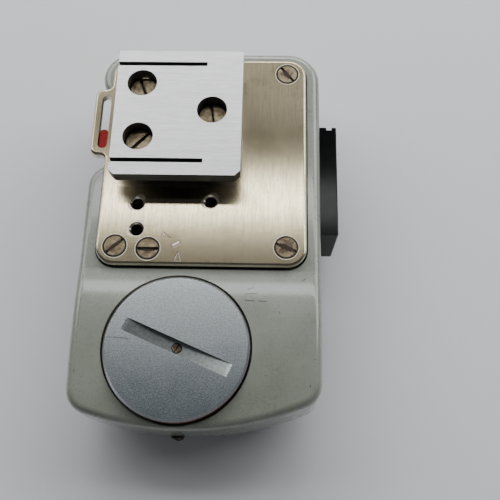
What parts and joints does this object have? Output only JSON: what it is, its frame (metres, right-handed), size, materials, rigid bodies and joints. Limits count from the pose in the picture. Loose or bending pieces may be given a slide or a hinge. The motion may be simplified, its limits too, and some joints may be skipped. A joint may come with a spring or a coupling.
{
  "type": "clip-on selenium light meter",
  "caption": "Shoe-mounted selenium light meter, underside up: enamelled case, brushed base plate with slotted accessory foot, grooved coupling disc, side photocell and needle movement.",
  "frame": {"origin": "on the resting plane, below the centre of the bounding box, with the meter lying on its window face", "axes": "+Z out of the underside that carries the shoe foot and the coupling disc, +Y from the dial end to the meter end, +X towards the photocell side. In use on a camera the meter is turned over, with +Z down"},
  "size_m": [0.0337, 0.0537, 0.0189],
  "materials": {
    "enamel": "fine satin enamel over cast metal",
    "nickel_silver": "brushed, lightly tarnished",
    "shoe_aluminium": "finely brushed",
    "disc_aluminium": "fine blasted with a bright turned rim",
    "screw_brass": "worn and tarnished",
    "brass": "turned",
    "steel": "turned",
    "black_frame": "semi-gloss black",
    "cell_glass": "moulded lens face",
    "selenium": "dull grey-black",
    "window": "clear",
    "red_plastic": "moulded",
    "tyre_fibre": "red-brown",
    "lacquer": "brown sealing lacquer",
    "bright_aluminium": "satin",
    "scale_white": "matt printed",
    "dark_iron": "dark",
    "copper_wire": "enamelled wire",
    "red_paint": "matt",
    "board": "laminate",
    "resistor_body": "wound bobbin",
    "lead_cover": "insulated lead"
  },
  "bodies": {
    "case": {"housing": "enamel", "base_plate": "nickel_silver", "plate_screws": "screw_brass", "shoe_foot": "shoe_aluminium", "foot_screws": "screw_brass", "thrust_washer": "tyre_fibre", "dial_bush": "brass", "bush_lock_screw": "steel", "seal_lacquer": "lacquer", "aperture_ring": "bright_aluminium", "disc_spring": "steel", "stop_pin": "steel", "cell_frame": "black_frame", "cell_window": "cell_glass", "selenium_cell": "selenium", "cell_backing": "board", "cell_spring": "brass", "window_glass": "window", "scale_plate": "scale_white", "scale_screws": "steel", "front_bridge": "brass", "rear_bridge": "brass", "front_jewel_screw": "brass", "rear_jewel_screw": "brass", "movement_spacers": "brass", "movement_screws": "steel", "yoke_ring": "dark_iron", "core_magnet": "dark_iron", "core_holders": "brass", "hairspring_front": "copper_wire", "hairspring_rear": "copper_wire", "switch_board": "board", "switch_contacts": "brass", "circuit_board": "board", "board_spacers": "brass", "board_screws": "steel", "range_resistor": "resistor_body", "calibration_resistor": "resistor_body", "cell_lead": "lead_cover"},
    "dial": {"coupling_disc": "disc_aluminium", "disc_tyre": "tyre_fibre", "disc_screw": "screw_brass", "dial_shaft": "steel", "speed_ring": "bright_aluminium", "dial_screw": "steel"},
    "film_dial": {"film_disc": "bright_aluminium"},
    "coil": {"coil_bobbin": "bright_aluminium", "coil_winding": "copper_wire", "coil_pivots": "steel", "needle": "red_paint", "needle_counterweight": "brass"},
    "zero_screw": {"zero_screw": "screw_brass"},
    "zero_lever": {"zero_lever": "steel"},
    "range_slider": {"range_knob": "red_plastic", "range_wiper": "brass"}
  },
  "joints": [
    {"name": "dial_turn", "type": "hinge", "parent": "case", "child": "dial", "pos_m": [-0.0035, -0.01652, 0.008], "axis": [0, 0, 1], "range_deg": [-160, 160]},
    {"name": "film_dial_turn", "type": "hinge", "parent": "dial", "child": "film_dial", "pos_m": [-0.0035, -0.01652, 0.001], "axis": [0, 0, 1], "range_deg": [-150, 150]},
    {"name": "needle_swing", "type": "hinge", "parent": "case", "child": "coil", "pos_m": [-0.003, 0.0046, 0.008], "axis": [0, 0, 1], "range_deg": [0, 60], "stiffness_Nm_per_rad": 0.000002},
    {"name": "zero_adjust", "type": "hinge", "parent": "case", "child": "zero_screw", "pos_m": [-0.00786, -0.00387, 0.0135], "axis": [0, 0, 1], "range_deg": [-45, 45]},
    {"name": "zero_lever_swing", "type": "hinge", "parent": "case", "child": "zero_lever", "pos_m": [-0.003, 0.0046, 0.0123], "axis": [0, 0, 1], "range_deg": [-2.6, 2.6]},
    {"name": "range_slide", "type": "slide", "parent": "case", "child": "range_slider", "axis": [0, 1, 0], "range_m": [0, 0.005]}
  ],
  "couplings": [
    {"joint": "zero_lever_swing", "follows": "zero_adjust", "ratio": -0.056}
  ]
}
